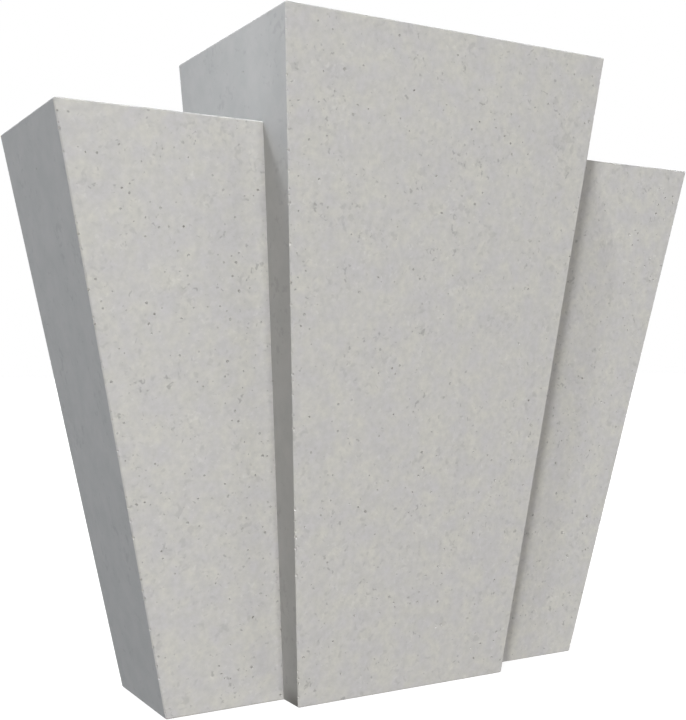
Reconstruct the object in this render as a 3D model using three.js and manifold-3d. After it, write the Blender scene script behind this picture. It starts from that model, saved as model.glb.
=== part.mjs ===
// A stepped keystone, cast in one piece: a tall centre block that stands proud of a lower wing on
// each side. Both taper towards the bed, and their front faces rake forward towards the top, while
// the back and the bed are flat and shared.
//
// Millimetres, +Z up, the front faces -Y. The origin lies on the bed, under the middle of the
// keystone's bounding box.

import * as THREE from 'three';
import { ConvexGeometry } from 'three/addons/geometries/ConvexGeometry.js';
import { mergeVertices } from 'three/addons/utils/BufferGeometryUtils.js';
import Module from 'manifold-3d';

// Driving dimensions. The stone is laid out in whole and half inches.

const INCH = 25.4;

const CENTRE = {
  height: 10.5 * INCH,
  topWidth: 6 * INCH,
  bedWidth: 4 * INCH,
  topDepth: 4 * INCH,
  bedDepth: 2.5 * INCH,
};

// One block from wing tip to wing tip: its middle lies inside the centre block.
const WINGS = {
  height: 9 * INCH,
  topWidth: 12 * INCH,
  bedWidth: 8 * INCH,
  topDepth: 3 * INCH,
  bedDepth: 2 * INCH,
};

// How far the softened outer edges are set back into each of the faces that meet there.
const ARRIS = 0.5;

// The flat back, shared by the centre and the wings. The centre's top is the deepest course.
const BACK_Y = CENTRE.topDepth / 2;

const CAST_STONE = {
  color: '#bebcb9',
  roughness: 0.9,
  metalness: 0,
  flatShading: true,
};

const wasm = await Module();
wasm.setup();

// A block with sharp edges has a corner for each choice of side, face and course.

const SIDES = ['left', 'right'];
const FACES = ['front', 'back'];
const COURSES = ['bed', 'top'];

function sharpCorner(block, side, face, course) {
  const width = course === 'top' ? block.topWidth : block.bedWidth;
  const depth = course === 'top' ? block.topDepth : block.bedDepth;
  return new THREE.Vector3(
    side === 'right' ? width / 2 : -width / 2,
    face === 'back' ? BACK_Y : BACK_Y - depth,
    course === 'top' ? block.height : 0,
  );
}

// The six faces of a block as planes whose normals point out of the stone.
function facePlanes(block) {
  const middle = new THREE.Vector3(0, BACK_Y - block.bedDepth / 2, block.height / 2);
  const planeThrough = (...corners) => {
    const points = corners.map((corner) => sharpCorner(block, ...corner));
    const plane = new THREE.Plane().setFromCoplanarPoints(...points);
    return plane.distanceToPoint(middle) > 0 ? plane.negate() : plane;
  };

  const planes = {};
  for (const side of SIDES) {
    planes[side] = planeThrough([side, 'front', 'bed'], [side, 'back', 'bed'], [side, 'back', 'top']);
  }
  for (const face of FACES) {
    planes[face] = planeThrough(['left', face, 'bed'], ['right', face, 'bed'], ['right', face, 'top']);
  }
  for (const course of COURSES) {
    planes[course] = planeThrough(
      ['left', 'front', course], ['right', 'front', course], ['right', 'back', course],
    );
  }
  return planes;
}

// The point that lies the same distance inside each of three planes.
function pointInside(planes, distance) {
  const rows = planes.flatMap((plane) => plane.normal.toArray());
  const offsets = planes.map((plane) => -plane.constant - distance);
  return new THREE.Vector3(...offsets).applyMatrix3(new THREE.Matrix3(...rows).invert());
}

// A block whose edges are softened: each sharp corner gives way to three points, one on each of
// the faces that met there, and the hull of all of them has a narrow flat along every edge.
function softenedBlock(block) {
  const planes = facePlanes(block);
  const points = [];
  for (const side of SIDES) {
    for (const face of FACES) {
      for (const course of COURSES) {
        const meeting = [planes[side], planes[face], planes[course]];
        const inner = pointInside(meeting, ARRIS);
        for (const plane of meeting) {
          points.push(plane.normal.clone().multiplyScalar(ARRIS).add(inner));
        }
      }
    }
  }
  return new ConvexGeometry(points);
}

// A closed geometry as a solid that can be joined to another.
function toSolid(geometry) {
  const bare = geometry.clone();
  bare.deleteAttribute('normal');
  const welded = mergeVertices(bare);
  return new wasm.Manifold(new wasm.Mesh({
    numProp: 3,
    vertProperties: new Float32Array(welded.attributes.position.array),
    triVerts: new Uint32Array(welded.index.array),
  }));
}

function toGeometry(solid) {
  const { vertProperties, triVerts } = solid.getMesh();
  const geometry = new THREE.BufferGeometry();
  geometry.setAttribute('position', new THREE.BufferAttribute(vertProperties, 3));
  geometry.setIndex(new THREE.BufferAttribute(triVerts, 1));
  return geometry;
}

function keystone() {
  const stone = toSolid(softenedBlock(CENTRE)).add(toSolid(softenedBlock(WINGS)));
  const mesh = new THREE.Mesh(toGeometry(stone), new THREE.MeshStandardMaterial(CAST_STONE));
  mesh.name = 'keystone';
  return mesh;
}

const part = new THREE.Group();
part.add(keystone());

export default part;
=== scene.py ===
# %% [markdown]
# A stepped keystone in cast stone
#
# A keystone is the wedge that closes an arch at its crown. This one is stepped: a tall centre block
# stands proud of a lower wing on each side, and all of it tapers towards the bed. It was cast in one
# piece, so the scene has one piece too.
#
# The solid was drawn in a CAD program. This script loads it as a fixed frame, rounds and wears a copy
# of it, gives the copy the finish of cast stone, and lights it as in a studio. Lengths are in metres,
# +Z is up and the front faces -Y.

# %% Load the frame
import math
import random

import bmesh
import bpy
from mathutils import Matrix, Vector, noise
from mathutils.geometry import intersect_point_line


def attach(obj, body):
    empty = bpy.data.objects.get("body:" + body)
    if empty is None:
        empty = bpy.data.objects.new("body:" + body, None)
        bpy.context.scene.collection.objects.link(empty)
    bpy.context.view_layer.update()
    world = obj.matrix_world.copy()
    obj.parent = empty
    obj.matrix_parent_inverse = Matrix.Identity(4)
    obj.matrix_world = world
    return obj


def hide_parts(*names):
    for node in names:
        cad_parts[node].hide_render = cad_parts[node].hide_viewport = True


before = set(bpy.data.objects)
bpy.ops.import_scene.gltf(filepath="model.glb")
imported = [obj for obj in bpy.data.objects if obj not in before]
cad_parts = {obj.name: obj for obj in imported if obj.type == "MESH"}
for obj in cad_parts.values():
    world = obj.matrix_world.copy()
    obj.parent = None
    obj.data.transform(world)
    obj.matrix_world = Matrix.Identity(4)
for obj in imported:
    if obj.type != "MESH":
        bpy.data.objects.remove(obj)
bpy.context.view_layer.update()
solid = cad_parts["keystone"]

# %% [markdown]
# Whole faces
#
# The faces of a cast stone are as flat as the sides of its mould, so the frame's own mesh is the best
# start: every face already lies where it should. It arrives as loose triangles. Welding joins them at
# their corners, and a limited dissolve merges the ones that lie in one plane. After that, each edge
# of the mesh is a real edge of the stone, which the next steps rely on.

# %% Weld the triangles into whole faces
MM = 0.001
WELD = 0.05 * MM
SAME_PLANE = math.radians(1)

block = bmesh.new()
block.from_mesh(solid.data)
bmesh.ops.remove_doubles(block, verts=block.verts, dist=WELD)
bmesh.ops.dissolve_limit(block, verts=block.verts, edges=block.edges, angle_limit=SAME_PLANE)

print("whole faces:", len(block.faces))

# %% [markdown]
# Broad faces and arris flats
#
# Masons call an outer edge an arris. The frame has a narrow flat along each of them, where the wet
# mix didn't quite fill the corner of the mould. The broad faces and these flats are told apart by
# area, and the middle line of each flat is kept: the wear along the arrises follows those lines.

# %% Find the middle line of every arris
BROAD = 1000 * MM**2
SHORTEST_ARRIS = 10 * MM


def middle_line(flat):
    """The two ends of a narrow flat's middle line, and the way that the flat faces."""
    across = sorted(flat.edges, key=lambda edge: edge.calc_length())[:2]
    ends = [(edge.verts[0].co + edge.verts[1].co) / 2 for edge in across]
    return ends[0], ends[1], flat.normal.copy()


narrow = [face for face in block.faces if face.calc_area() < BROAD and len(face.verts) == 4]
arris_lines = [middle_line(face) for face in narrow]
arris_lines = [line for line in arris_lines if (line[1] - line[0]).length > SHORTEST_ARRIS]
arris_length = sum((end - start).length for start, end, _ in arris_lines)

print("arrises:", len(arris_lines), "with a length of", round(arris_length, 2), "m in all")

# %% [markdown]
# Rounded arrises
#
# A flat with two crisp edges would flash like a cut gem. On cast stone the arris is round, and along
# the tops it catches a thin soft line of light. A small bevel on both edges of each flat gives that
# round. Only the edges that stand out are bevelled: the inner corners, where the wings meet the
# centre, were two boards of the mould and stay sharp. The sign of the angle between two faces tells
# the two kinds apart, which a Bevel modifier with its angle limit can't do. The lines of the inner
# corners are kept too, because air gathers along them.

# %% Round the arrises
OUTER_ANGLE = math.radians(15)
ARRIS_BEVEL = 0.14 * MM
BEVEL_STEPS = 2
ROUND_PROFILE = 0.5

outer_edges = [edge for edge in block.edges if edge.calc_face_angle_signed() > OUTER_ANGLE]
inner_edges = [edge for edge in block.edges if edge.calc_face_angle_signed() < -OUTER_ANGLE]
inner_corners = [[vert.co.copy() for vert in edge.verts] for edge in inner_edges]
bmesh.ops.bevel(
    block,
    geom=outer_edges,
    offset=ARRIS_BEVEL,
    offset_type="OFFSET",
    segments=BEVEL_STEPS,
    profile=ROUND_PROFILE,
    affect="EDGES",
    clamp_overlap=True,
)

print("edges rounded:", len(outer_edges), "faces now:", len(block.faces))

# %% [markdown]
# Which finish goes where
#
# The three front faces were washed back after casting, so that fine sand shows. The flanks, the back,
# the top and the bed kept the smooth skin that the mould gave them. A third finish lines the air
# holes. A material slot number on each face is the simplest way to say which one it has.

# %% Mark the finish of each face
WASHED, SKIN, HOLE = range(3)
FRONT_FACING = -0.5
SQUARE_CM = 1e-4

for face in block.faces:
    face.material_index = WASHED if face.normal.y < FRONT_FACING else SKIN
washed_area = sum(face.calc_area() for face in block.faces if face.material_index == WASHED)

print("washed face:", round(washed_area / SQUARE_CM), "square cm")

# %% [markdown]
# Air holes
#
# When the wet mix is poured, air stays trapped against the mould and leaves small round holes. They
# could be painted as dark dots in the material, but a painted dot has no depth and no shaded wall.
# Here each bubble is a small uneven ball, and one Boolean modifier cuts them all from the block.
#
# All the balls are gathered in one cutter. They are copies of an icosphere, whose triangles are nearly
# alike, so that a few are enough for a ball a millimetre across. Each copy is stretched and turned at
# random, and the seed makes every run throw the same ones.

# %% Make a ball to cut with
SEED = 21
BALL_STEPS = 2

dice = random.Random(SEED)
cutter = {"points": [], "faces": [], "finishes": []}

ball = bmesh.new()
bmesh.ops.create_icosphere(ball, subdivisions=BALL_STEPS, radius=1)
ball.verts.index_update()
ball_points = [vert.co.copy() for vert in ball.verts]
ball_faces = [[vert.index for vert in face.verts] for face in ball.faces]
ball.free()


def add_ball(middle, half_sizes, finish):
    """Adds an uneven ball to the cutter, turned at random."""
    axis = Vector([dice.gauss(0, 1) for _ in range(3)])
    turn = Matrix.Rotation(dice.uniform(0, math.tau), 4, axis)
    placed = Matrix.Translation(middle) @ turn @ Matrix.Diagonal([*half_sizes, 1])
    first = len(cutter["points"])
    cutter["points"] += [placed @ point for point in ball_points]
    cutter["faces"] += [[first + corner for corner in corners] for corners in ball_faces]
    cutter["finishes"] += [finish] * len(ball_faces)


print("triangles in a ball:", len(ball_faces))

# %% [markdown]
# Where the air gathers
#
# Bubbles don't lie evenly. They crowd in loose patches a centimetre or two wide, and along the inner
# corners, where the mix is slow to let its air go. A noise that changes slowly over the stone gives
# the patches, and the distance to the nearest inner corner gives the rest: all of it nearer than
# CORNER_NEAR, and none beyond CORNER_FAR. A throw of the dice between SPARSE and DENSE then decides
# whether a bubble may stay at a place.

# %% Let the bubbles crowd
CROWD = 14 * MM
CORNER_NEAR = 13 * MM
CORNER_FAR = 26 * MM
CORNER_CROWD = 0.35
SPARSE = -0.5
DENSE = 0.8
PIT_GAP = 2.0 * MM

places = []


def crowding(place):
    """How the bubbles crowd at a place: in loose patches, and along the inner corners."""
    near = min((place - intersect_point_line(place, *ends)[0]).length for ends in inner_corners)
    corner = min(1, max(0, (CORNER_FAR - near) / (CORNER_FAR - CORNER_NEAR)))
    return noise.noise(place / CROWD) + CORNER_CROWD * corner


def place_on(face):
    """A random place on a broad face, clear of the places taken before."""
    low = [min(vert.co[axis] for vert in face.verts) for axis in range(3)]
    high = [max(vert.co[axis] for vert in face.verts) for axis in range(3)]
    while True:
        place = Vector([dice.uniform(a, b) for a, b in zip(low, high)])
        place -= face.normal * face.normal.dot(place - face.verts[0].co)
        inside = bmesh.geometry.intersect_face_point(face, place)
        may_stay = dice.uniform(SPARSE, DENSE) < crowding(place)
        if inside and may_stay and all((place - other).length > PIT_GAP for other in places):
            places.append(place)
            return place


print("inner corners:", len(inner_corners))

# %% [markdown]
# Scattering the bubbles
#
# Now the bubbles are thrown on the broad faces, far thicker on the washed fronts, where the wash
# opened them up, and thickest on the wings, where the mould is narrow and the mix was packed less well.
# Most only dent the face, and a few go deep: an exponential draw gives just that, many small values
# and now and then a large one. The flattest few don't reach the face and leave no hole. A bubble too
# near another is thrown again, because balls that overlap make a poor cutter.

# %% Scatter the bubbles
CENTRE_PITS_PER_CM2 = 1.0
WING_PITS_PER_CM2 = 1.6
SKIN_PITS_PER_CM2 = 0.08
BALL_RADIUS = 0.50 * MM
RADIUS_SPREAD = (0.6, 1.2)
STRETCH = (0.75, 1.5)
SHALLOWEST = 0.05 * MM
PIT_DEPTH = 0.08 * MM

broad = [face for face in block.faces if face.calc_area() > BROAD]
fronts = [face for face in broad if face.material_index == WASHED]
centre_front = max(fronts, key=lambda face: face.calc_area())

for face in broad:
    per_cm2 = WING_PITS_PER_CM2 if face in fronts else SKIN_PITS_PER_CM2
    if face == centre_front:
        per_cm2 = CENTRE_PITS_PER_CM2
    for _ in range(round(face.calc_area() / SQUARE_CM * per_cm2)):
        radius = BALL_RADIUS * dice.uniform(*RADIUS_SPREAD)
        depth = min(radius, SHALLOWEST + dice.expovariate(1 / PIT_DEPTH))
        middle = place_on(face) + face.normal * (radius - depth)
        add_ball(middle, [radius * dice.uniform(*STRETCH) for _ in range(3)], HOLE)

bubble_count = len(places)
print("bubbles:", bubble_count)

# %% [markdown]
# Nicks along the arrises
#
# Sand grains break out of an arris when the stone leaves its mould and when it is moved, so the edge
# is never quite straight. The upright arrises are knocked most, and the level ones stay crisper. Each
# nick is a shallow bite of a larger ball, whose middle lies in front of the arris. They go into the
# same cutter, but they show clean stone.

# %% Scatter the nicks
NICKS_PER_METRE = 300
NICK_RADIUS = 0.8 * MM
NICK_RADIUS_SPREAD = (0.7, 1.3)
NICK_DEPTH = 0.33 * MM
NICK_DEPTH_SPREAD = (0.3, 1.4)
ALONG_ARRIS = (0.005, 0.995)
UPRIGHT = 0.5
LEVEL_WEAR = 0.35

for start, end, outward in arris_lines:
    upright = abs((end - start).normalized().z) > UPRIGHT
    wear = NICK_DEPTH if upright else NICK_DEPTH * LEVEL_WEAR
    for _ in range(round((end - start).length * NICKS_PER_METRE)):
        spot = start.lerp(end, dice.uniform(*ALONG_ARRIS))
        if any((spot - other).length < PIT_GAP for other in places):
            continue
        places.append(spot)
        radius = NICK_RADIUS * dice.uniform(*NICK_RADIUS_SPREAD)
        depth = wear * dice.uniform(*NICK_DEPTH_SPREAD)
        add_ball(spot + outward * (radius - depth), [radius] * 3, WASHED)

print("nicks:", len(places) - bubble_count)

# %% [markdown]
# Two meshes to cut with
#
# The block and the cutter have been lists of points and faces so far. A Boolean modifier works on
# objects, so each of them becomes an object. They carry the same three finishes in the same slots, and
# the faces that a bubble leaves behind will keep the bubble's own finish.

# %% Make objects of the block and the cutter
FINISHES = [bpy.data.materials.new(name) for name in ("washed_cast_stone", "mould_skin", "hole_lining")]


def to_object(name, mesh):
    """A new object in the scene, with the three finishes in its mesh's slots."""
    for finish in FINISHES:
        mesh.materials.append(finish)
    made = bpy.data.objects.new(name, mesh)
    bpy.context.scene.collection.objects.link(made)
    return made


block_mesh = bpy.data.meshes.new("block")
block.to_mesh(block_mesh)
block.free()
keystone = to_object("cast_keystone", block_mesh)

bubble_mesh = bpy.data.meshes.new("bubbles")
bubble_mesh.from_pydata(cutter["points"], [], cutter["faces"])
bubble_mesh.polygons.foreach_set("material_index", cutter["finishes"])
bubbles = to_object("bubbles", bubble_mesh)

print("triangles in the cutter:", len(bubble_mesh.polygons))

# %% [markdown]
# Cutting the block
#
# The Boolean modifier has three solvers. The manifold one asks for closed meshes and cuts more than a
# thousand bubbles in about a second, where the exact one takes far longer. The result is then made a
# plain mesh again, and the cutter goes. The holes are shaded smooth, all else stays flat.

# %% Cut the bubbles and nicks from the block
cut = keystone.modifiers.new("air holes", "BOOLEAN")
cut.operation = "DIFFERENCE"
cut.solver = "MANIFOLD"
cut.material_mode = "TRANSFER"
cut.object = bubbles

evaluated = keystone.evaluated_get(bpy.context.evaluated_depsgraph_get())
cast = bpy.data.meshes.new_from_object(evaluated)
keystone.modifiers.clear()
keystone.data = cast
bpy.data.objects.remove(bubbles)
for polygon in cast.polygons:
    polygon.use_smooth = polygon.material_index == HOLE

print("triangles:", sum(len(polygon.vertices) - 2 for polygon in cast.polygons))

# %% [markdown]
# Placing the piece
#
# This part has no joints, so its only body is the root.

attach(keystone, "root")
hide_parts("keystone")

print("placed:", keystone.name)

# %% [markdown]
# A helper for nodes
#
# A material is a small network of nodes. One function adds a node, sets its options, and either sets
# an input to a value or links it to another node's output. Colours are written as the hex values that
# any paint program shows, and a second function turns them into the linear values that light needs.

# %% Add nodes and read colours
def add(tree, kind, inputs=None, **options):
    """Adds a node. An input that is given an output socket is linked to it, any other is set."""
    node = tree.nodes.new(kind)
    for name, value in options.items():
        setattr(node, name, value)
    for name, value in (inputs or {}).items():
        if isinstance(value, bpy.types.NodeSocket):
            tree.links.new(value, node.inputs[name])
        else:
            node.inputs[name].default_value = value
    return node


def linear(hex_colour):
    """An sRGB hex colour as linear red, green, blue and alpha."""
    channels = [int(hex_colour[i : i + 2], 16) / 255 for i in (1, 3, 5)]
    return [c / 12.92 if c < 0.04045 else ((c + 0.055) / 1.055) ** 2.4 for c in channels] + [1.0]


print("hex #808080 is", round(linear("#808080")[0], 3), "in linear light")

# %% [markdown]
# Patterns in millimetres
#
# At a scale of one, the waves of a Noise texture are about as wide as one unit of the coordinates that
# it is given. The stone's own coordinates are in metres, so they are first multiplied into
# millimetres, and a pattern that is so many millimetres wide then has a scale of one over that width.
# Coordinates of the object itself don't slide over the stone when the camera moves.

# %% Start a network that is measured in millimetres
def start_network(finish):
    """Empties a material's network. Returns it, with the stone's coordinates in millimetres."""
    finish.use_nodes = True
    tree = finish.node_tree
    tree.nodes.clear()
    metres = add(tree, "ShaderNodeTexCoord").outputs["Object"]
    scaled = add(tree, "ShaderNodeVectorMath", {"Vector": metres, "Scale": 1 / MM}, operation="SCALE")
    return tree, scaled.outputs["Vector"]


# %% [markdown]
# Spots
#
# The stone is made of crushed stone, sand and cement, and its grains show as small uneven spots. A
# Noise texture wanders up and down about 0.5, all through the stone and not only on its face. Where
# it rises above a level there is a spot. At a level of 0.5 the spots cover half the face, and higher
# levels leave fewer and smaller ones.
#
# Grains also lie closer in some patches than in others, so half of a second noise, five times as wide,
# is added to the first. The fourth dimension of the noise tells the layers of spots apart.

# %% Cut spots from noise
NOISE_MIDDLE = 0.5
PATCH_WIDTH = 5
PATCH_SHARE = 0.5
SPOT_DETAIL = 1
SPOT_TWIST = 0.6


def spots(tree, where, spacing, layer, begins, full):
    """A mask of uneven spots: their spacing in mm, and the noise where one begins and is full."""
    grain = add(
        tree,
        "ShaderNodeTexNoise",
        {
            "Vector": where,
            "W": layer,
            "Scale": 1 / spacing,
            "Detail": SPOT_DETAIL,
            "Distortion": SPOT_TWIST,
        },
        noise_dimensions="4D",
    )
    patch = add(
        tree,
        "ShaderNodeTexNoise",
        {"Vector": where, "W": layer, "Scale": 1 / (PATCH_WIDTH * spacing), "Detail": SPOT_DETAIL},
        noise_dimensions="4D",
    )
    level = add(
        tree,
        "ShaderNodeMath",
        {0: patch.outputs["Fac"], 1: PATCH_SHARE, 2: grain.outputs["Fac"]},
        operation="MULTIPLY_ADD",
    )
    lift = PATCH_SHARE * NOISE_MIDDLE
    mask = add(
        tree,
        "ShaderNodeMapRange",
        {"Value": level.outputs["Value"], "From Min": lift + begins, "From Max": lift + full},
        interpolation_type="SMOOTHSTEP",
    )
    return mask.outputs["Result"]


# %% [markdown]
# One colour over another
#
# Sand, grains and painted shade all do the same thing to a face: they lay a second colour over the
# first in some places, more or less thickly. A Mix node does it, and a mask says where. That node has a
# set of sockets for each kind of data, all with the same names, so the ones for colours are told by
# number.
# The stone's two finishes also end alike, with a fine relief and a matt shader. The relief is a bump,
# because it is much finer than a picture of the whole stone can show.

# %% Lay colours and end a network
STONE_IOR = 1.5
RELIEF_DETAIL = 2
COLOUR_A, COLOUR_B, COLOUR_OUT = 6, 7, 2


def lay_colour(tree, ground, mask, strength, colour):
    """Lays a colour over another one where a mask says, no thicker than the strength."""
    amount = add(tree, "ShaderNodeMath", {0: mask, 1: strength}, operation="MULTIPLY")
    mix = add(
        tree,
        "ShaderNodeMix",
        {"Factor": amount.outputs["Value"], COLOUR_A: ground, COLOUR_B: colour},
        data_type="RGBA",
    )
    return mix.outputs[COLOUR_OUT]


def end_network(tree, where, colour, roughness, grain, strength, height):
    """Ends a network with a matt shader and a fine relief. Its grain and height are in mm."""
    relief = add(
        tree, "ShaderNodeTexNoise", {"Vector": where, "Scale": 1 / grain, "Detail": RELIEF_DETAIL}
    )
    bump = add(
        tree,
        "ShaderNodeBump",
        {"Height": relief.outputs["Fac"], "Strength": strength, "Distance": height * MM},
    )
    shader = add(
        tree,
        "ShaderNodeBsdfPrincipled",
        {
            "Base Color": colour,
            "Roughness": roughness,
            "IOR": STONE_IOR,
            "Normal": bump.outputs["Normal"],
        },
    )
    add(tree, "ShaderNodeOutputMaterial", {"Surface": shader.outputs["BSDF"]})


# %% [markdown]
# Washed cast stone
#
# The fronts are cast stone, a fine wet-cast concrete of cement, sand and crushed limestone, lightly
# washed with acid after casting. That takes off the cement skin and leaves a dry, matt, pale grey
# face. Seen close it isn't one grey. The cement clouds between warm and cool, and fine sand lies
# closer in some places than in others. Almost all of a noise texture's values lie between NOISE_LOW
# and NOISE_HIGH, so stretching those to 0 and 1 gives clouds of full strength. FINE_SHARE is the
# roughness of the noise, which says how much each finer octave adds.

# %% Colour the cement and its sand
WARM_CEMENT = linear("#C5C2BA")
COOL_CEMENT = linear("#BFBCBB")
FINE_SAND = linear("#B1AFAB")
CEMENT_CLOUD = 8.0
CLOUD_DETAIL = 3
SAND_PATCH = 2.6
SAND_DETAIL = 4
SAND_LAYER = 5
FINE_SHARE = 0.6
SAND_SHARE = 0.6
NOISE_LOW = 0.35
NOISE_HIGH = 0.65

tree, where = start_network(FINISHES[WASHED])
cloud = add(
    tree,
    "ShaderNodeTexNoise",
    {"Vector": where, "Scale": 1 / CEMENT_CLOUD, "Detail": CLOUD_DETAIL},
)
warmth = add(
    tree,
    "ShaderNodeMapRange",
    {"Value": cloud.outputs["Fac"], "From Min": NOISE_LOW, "From Max": NOISE_HIGH},
)
cement = add(
    tree,
    "ShaderNodeMix",
    {"Factor": warmth.outputs["Result"], COLOUR_A: COOL_CEMENT, COLOUR_B: WARM_CEMENT},
    data_type="RGBA",
)
patchy = add(
    tree,
    "ShaderNodeTexNoise",
    {
        "Vector": where,
        "W": SAND_LAYER,
        "Scale": 1 / SAND_PATCH,
        "Detail": SAND_DETAIL,
        "Roughness": FINE_SHARE,
    },
    noise_dimensions="4D",
)
sandy = add(
    tree,
    "ShaderNodeMapRange",
    {"Value": patchy.outputs["Fac"], "From Min": NOISE_LOW, "From Max": NOISE_HIGH},
)
ground = lay_colour(tree, cement.outputs[COLOUR_OUT], sandy.outputs["Result"], SAND_SHARE, FINE_SAND)

print("cement clouds:", CEMENT_CLOUD, "mm, sand patches:", SAND_PATCH, "mm")

# %% [markdown]
# Grains in the washed face
#
# Over the sandy ground come three layers of grains: soft grey ones, fewer dark ones and a few that are
# almost white. Crushed stone in such a mix is a millimetre or two across, and so are the spots. Each
# row gives a colour, the spacing in millimetres, the noise where a spot begins and is full, and how
# strongly it shows. Concrete has an index of refraction of about 1.5 and almost no gloss, so its
# roughness is near one. The sand gives the face a fine tooth.

# %% Add the grains and end the washed stone
GRAINS = (
    (linear("#9B9996"), 2.6, 0.61, 0.765, 0.30),
    (linear("#73716E"), 2.0, 0.688, 0.81, 0.40),
    (linear("#E4E2DE"), 1.8, 0.644, 0.788, 0.15),
)
WASHED_ROUGHNESS = 0.95
TOOTH_GRAIN = 0.9
TOOTH_STRENGTH = 0.3
TOOTH_HEIGHT = 0.04

for layer, (grain, spacing, begins, full, strength) in enumerate(GRAINS):
    ground = lay_colour(tree, ground, spots(tree, where, spacing, layer, begins, full), strength, grain)
end_network(tree, where, ground, WASHED_ROUGHNESS, TOOTH_GRAIN, TOOTH_STRENGTH, TOOTH_HEIGHT)

print("washed stone:", len(tree.nodes), "nodes")

# %% [markdown]
# Mould skin
#
# The other faces lay against a smooth mould and weren't washed. Their skin is cement with hardly any
# sand in it, so it is smoother, plainer and a little darker: soft clouds a centimetre or two wide,
# and faint grey marks where a grain lies just under the skin.

# %% Colour the mould skin
PALE_SKIN = linear("#A8A6A3")
DULL_SKIN = linear("#A1A09D")
SKIN_CLOUD = 10.0
SKIN_DETAIL = 5
SKIN_MARK = linear("#8B8A88")
MARK_SPACING = 3.0
MARK_LAYER = 7
MARK_BEGINS = 0.61
MARK_FULL = 0.765
MARK_STRENGTH = 0.35

tree, where = start_network(FINISHES[SKIN])
cloud = add(
    tree,
    "ShaderNodeTexNoise",
    {"Vector": where, "Scale": 1 / SKIN_CLOUD, "Detail": SKIN_DETAIL, "Roughness": FINE_SHARE},
)
paleness = add(
    tree,
    "ShaderNodeMapRange",
    {"Value": cloud.outputs["Fac"], "From Min": NOISE_LOW, "From Max": NOISE_HIGH},
)
skin = add(
    tree,
    "ShaderNodeMix",
    {"Factor": paleness.outputs["Result"], COLOUR_A: DULL_SKIN, COLOUR_B: PALE_SKIN},
    data_type="RGBA",
)
marks = spots(tree, where, MARK_SPACING, MARK_LAYER, MARK_BEGINS, MARK_FULL)
ground = lay_colour(tree, skin.outputs[COLOUR_OUT], marks, MARK_STRENGTH, SKIN_MARK)

print("skin clouds:", SKIN_CLOUD, "mm")

# %% [markdown]
# Painted shade at the foot
#
# The flanks of the centre are painted darker at the foot, most of all beside the front arris: this is
# painted shade, where less light reaches the foot of the recesses. Two ramps make that mask, one that
# rises towards the bed and one that rises towards the front, and their product is full only where both
# are. Both are measured along the stone's own axes, in millimetres.

# %% Paint shade at the foot and end the mould skin
# The colour of the painted shade at the foot of the flanks.
PAINTED_FOOT_SHADE = linear("#625F5A")
FOOT_SHADE_STRENGTH = 0.75
FOOT_SHADE_HEIGHT = 9.0
FOOT_SHADE_FROM = 2.0
FOOT_SHADE_TO = -10.0
SKIN_ROUGHNESS = 0.8
RIPPLE = 3.0
RIPPLE_STRENGTH = 0.2
RIPPLE_HEIGHT = 0.02

axes = add(tree, "ShaderNodeSeparateXYZ", {"Vector": where})
low = add(
    tree,
    "ShaderNodeMapRange",
    {"Value": axes.outputs["Z"], "From Min": FOOT_SHADE_HEIGHT, "From Max": 0.0},
    interpolation_type="SMOOTHSTEP",
)
forward = add(
    tree,
    "ShaderNodeMapRange",
    {"Value": axes.outputs["Y"], "From Min": FOOT_SHADE_FROM, "From Max": FOOT_SHADE_TO},
    interpolation_type="SMOOTHSTEP",
)
foot_shade = add(
    tree,
    "ShaderNodeMath",
    {0: low.outputs["Result"], 1: forward.outputs["Result"]},
    operation="MULTIPLY",
)
# Lay the painted shade over the foot of the flanks.
ground = lay_colour(tree, ground, foot_shade.outputs["Value"], FOOT_SHADE_STRENGTH, PAINTED_FOOT_SHADE)
end_network(tree, where, ground, SKIN_ROUGHNESS, RIPPLE, RIPPLE_STRENGTH, RIPPLE_HEIGHT)

print("mould skin:", len(tree.nodes), "nodes")

# %% [markdown]
# Hole lining
#
# The wash doesn't reach into the air holes. They stay lined with raw cement, and some are lined with a
# darker grey than others. The noise that mixes the two is wider than a hole, so that each hole has a
# tone of its own.

# %% Make the hole lining
RAW_CEMENT = linear("#BCBAB6")
DARK_LINING = linear("#979590")
LINING_TONE_WIDTH = 2.5
LINING_TONE_DETAIL = 1
LINING_ROUGHNESS = 1.0

tree, where = start_network(FINISHES[HOLE])
lining_tone = add(
    tree, "ShaderNodeTexNoise", {"Vector": where, "Scale": 1 / LINING_TONE_WIDTH, "Detail": LINING_TONE_DETAIL}
)
lining = add(
    tree,
    "ShaderNodeMix",
    {"Factor": lining_tone.outputs["Fac"], COLOUR_A: RAW_CEMENT, COLOUR_B: DARK_LINING},
    data_type="RGBA",
)
shader = add(
    tree,
    "ShaderNodeBsdfPrincipled",
    {"Base Color": lining.outputs[COLOUR_OUT], "Roughness": LINING_ROUGHNESS, "IOR": STONE_IOR},
)
add(tree, "ShaderNodeOutputMaterial", {"Surface": shader.outputs["BSDF"]})

print("hole lining:", len(tree.nodes), "nodes")

# %% [markdown]
# The floor
#
# The stone stands on a table of opal acrylic that is lit from below, as small goods often are, so the
# ground stays white right up to the stone. The table's light isn't let onto the stone from here,
# because the faces that lean over the floor would then be too bright: an object can be hidden from
# some kinds of rays and still be seen by the camera. Two of the lamps further on stand in for it.

# %% Lay the floor
FLOOR_REACH = 8.0

floor_mesh = bpy.data.meshes.new("floor")
sides = (-FLOOR_REACH, FLOOR_REACH)
floor_mesh.from_pydata([(x, y, 0) for y in sides for x in sides], [], [(0, 1, 3, 2)])
floor = bpy.data.objects.new("floor", floor_mesh)
bpy.context.scene.collection.objects.link(floor)
floor.visible_diffuse = False
floor.visible_glossy = False
floor.visible_shadow = False

print("floor:", 2 * FLOOR_REACH, "m wide")

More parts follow.
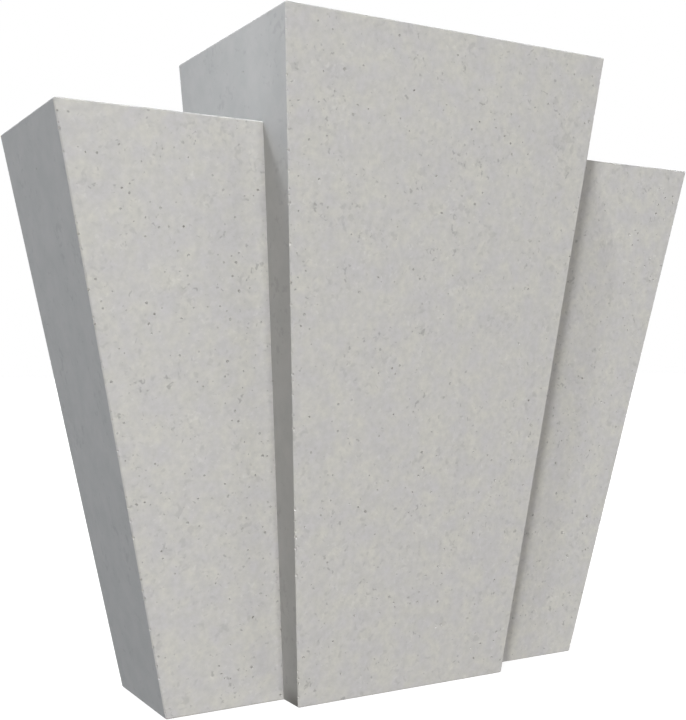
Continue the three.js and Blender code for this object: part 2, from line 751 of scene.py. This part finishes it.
# %% [markdown]
# Lit acrylic
#
# Opal acrylic lets much of the light through that falls on it, so it sends back less than white paper
# does, and shadows on it are faint next to its own glow. Its index of refraction is 1.49, and its
# sanded top has a soft sheen.

# %% Make the acrylic
ACRYLIC = linear("#6C6C6B")
WHITE = linear("#FFFFFF")
ACRYLIC_IOR = 1.49
ACRYLIC_ROUGHNESS = 0.6
TABLE_GLOW = 0.92

acrylic = bpy.data.materials.new("lit_opal_acrylic")
acrylic.use_nodes = True
acrylic.node_tree.nodes.clear()
shader = add(
    acrylic.node_tree,
    "ShaderNodeBsdfPrincipled",
    {
        "Base Color": ACRYLIC,
        "Roughness": ACRYLIC_ROUGHNESS,
        "IOR": ACRYLIC_IOR,
        "Emission Color": WHITE,
        "Emission Strength": TABLE_GLOW,
    },
)
add(acrylic.node_tree, "ShaderNodeOutputMaterial", {"Surface": shader.outputs["BSDF"]})
floor_mesh.materials.append(acrylic)

print("floor finish:", acrylic.name)

# %% [markdown]
# The camera
#
# The camera stands close to the stone, a little to its left, at half its height. It looks level, so
# that the uprights of the picture stay upright. The lens is a short portrait lens. So near a camera
# makes the left wing look larger than the right one, which is much of the picture's character.

# %% Set up the camera
CAMERA_PLACE = Vector((-0.25834, -0.40538, 0.13832))
CAMERA_TURN = math.radians(-30.145)
LENS = 55.87
SENSOR = 36.0
NEAREST_SEEN = 10 * MM

camera_data = bpy.data.cameras.new("camera")
camera_data.sensor_width = SENSOR
camera_data.lens = LENS
camera_data.clip_start = NEAREST_SEEN
camera = bpy.data.objects.new("camera", camera_data)
camera.location = CAMERA_PLACE
camera.rotation_euler = (math.pi / 2, 0, CAMERA_TURN)
bpy.context.scene.collection.objects.link(camera)
bpy.context.scene.camera = camera

print("camera:", round(CAMERA_PLACE.xy.length, 2), "m from the middle of the stone")

# %% [markdown]
# The lamps
#
# A wide key lamp stands left of the camera, at half the height of the stone, and throws the soft
# shadow of the centre on the right wing. Two small lamps high in front light the fronts evenly and
# draw the thin line along the top arrises. A fill lamp low in front keeps the shadows open, and a lamp
# over the left wing brightens the flank above it. Each row gives a place, a radius, a colour and watts.
#
# Lamps as near as these would fade across the stone. A Light Falloff node with its constant output
# takes that out, so that the fronts stay even.

# %% Hang the lamps
LAMPS = (
    ("key", (-0.678, -0.712, 0.13), 0.045, "#FFFFFF", 9.4),
    ("high key", (-0.200, -0.350, 0.60), 0.030, "#F5FAFF", 17.9),
    ("boom", (-0.156, -0.243, 0.80), 0.020, "#F5FAFF", 16.5),
    ("fill", (0.0, -0.600, -0.20), 0.100, "#FFFFFF", 15.1),
    ("rear lamp", (-0.300, 0.150, 0.60), 0.050, "#FFFFFF", 22.6),
)


def hang(name, kind, colour, energy):
    """A new lamp in the scene that the camera can't see."""
    lamp = bpy.data.objects.new(name, bpy.data.lights.new(name, kind))
    lamp.data.color = linear(colour)[:3]
    lamp.data.energy = energy
    lamp.visible_camera = False
    bpy.context.scene.collection.objects.link(lamp)
    return lamp


for name, place, radius, colour, watts in LAMPS:
    lamp = hang(name, "POINT", colour, watts)
    lamp.location = place
    lamp.data.shadow_soft_size = radius
    lamp.data.use_nodes = True
    lamp.data.node_tree.nodes.clear()
    even = add(lamp.data.node_tree, "ShaderNodeLightFalloff", {"Strength": 1})
    glow = add(lamp.data.node_tree, "ShaderNodeEmission", {"Strength": even.outputs["Constant"]})
    add(lamp.data.node_tree, "ShaderNodeOutputLight", {"Surface": glow.outputs["Emission"]})

print("lamps:", len(LAMPS))

# %% [markdown]
# Light from all round
#
# Windows, white walls and the lit table send light from every side. A Sun lamp with a very wide disc
# stands in well for such a broad soft panel: it lights every place alike, and its shadows have no hard
# edge. Cool daylight comes from behind on the left. The table's glow comes up from below on both
# sides. The others keep the top, the back and the right flank from going dark. Each row gives the
# degrees from the front towards the left, the height in degrees, a colour and a strength.

# %% Hang the broad lights
SUNS = (
    ("daylight", 120, 36, "#C6DFFF", 0.95),
    ("left light", 120, 0, "#FFFFFF", 0.64),
    ("table glow left", 60, -30, "#FFFFFF", 0.72),
    ("table glow right", -60, -30, "#FFFFFF", 0.74),
    ("top light", 0, 90, "#FFFFFF", 0.94),
    ("back light", 180, 10, "#FFFFFF", 1.41),
    ("right light", -110, 10, "#FFFFFF", 1.88),
)
SUN_WIDTH = math.radians(40)

for name, from_front, height, colour, energy in SUNS:
    lamp = hang(name, "SUN", colour, energy)
    lamp.data.angle = SUN_WIDTH
    around, up = math.radians(from_front), math.radians(height)
    toward = Vector((-math.sin(around) * math.cos(up), -math.cos(around) * math.cos(up), math.sin(up)))
    lamp.rotation_euler = toward.to_track_quat("Z", "Y").to_euler()

print("broad lights:", len(SUNS))

# %% [markdown]
# The room
#
# Around the table hangs white paper. The camera sees it white, but only a little of its light reaches
# the stone, since the broad lights already stand in for it. A Light Path node lets the world look one
# way to the camera and another to the stone. The Standard view keeps the picture's greys as they are,
# where a filmic one would soften them.

# %% Hang the white paper
PAPER_LIGHT = 0.01
PAPER_WHITE = 1.0

world = bpy.data.worlds.new("studio")
bpy.context.scene.world = world
world.use_nodes = True
room = world.node_tree
room.nodes.clear()
ray = add(room, "ShaderNodeLightPath")
lit = add(room, "ShaderNodeBackground", {"Color": WHITE, "Strength": PAPER_LIGHT})
seen = add(room, "ShaderNodeBackground", {"Color": WHITE, "Strength": PAPER_WHITE})
paper = add(
    room,
    "ShaderNodeMixShader",
    {0: ray.outputs["Is Camera Ray"], 1: lit.outputs["Background"], 2: seen.outputs["Background"]},
)
add(room, "ShaderNodeOutputWorld", {"Surface": paper.outputs["Shader"]})

bpy.context.scene.view_settings.view_transform = "Standard"

print("room:", len(room.nodes), "nodes")
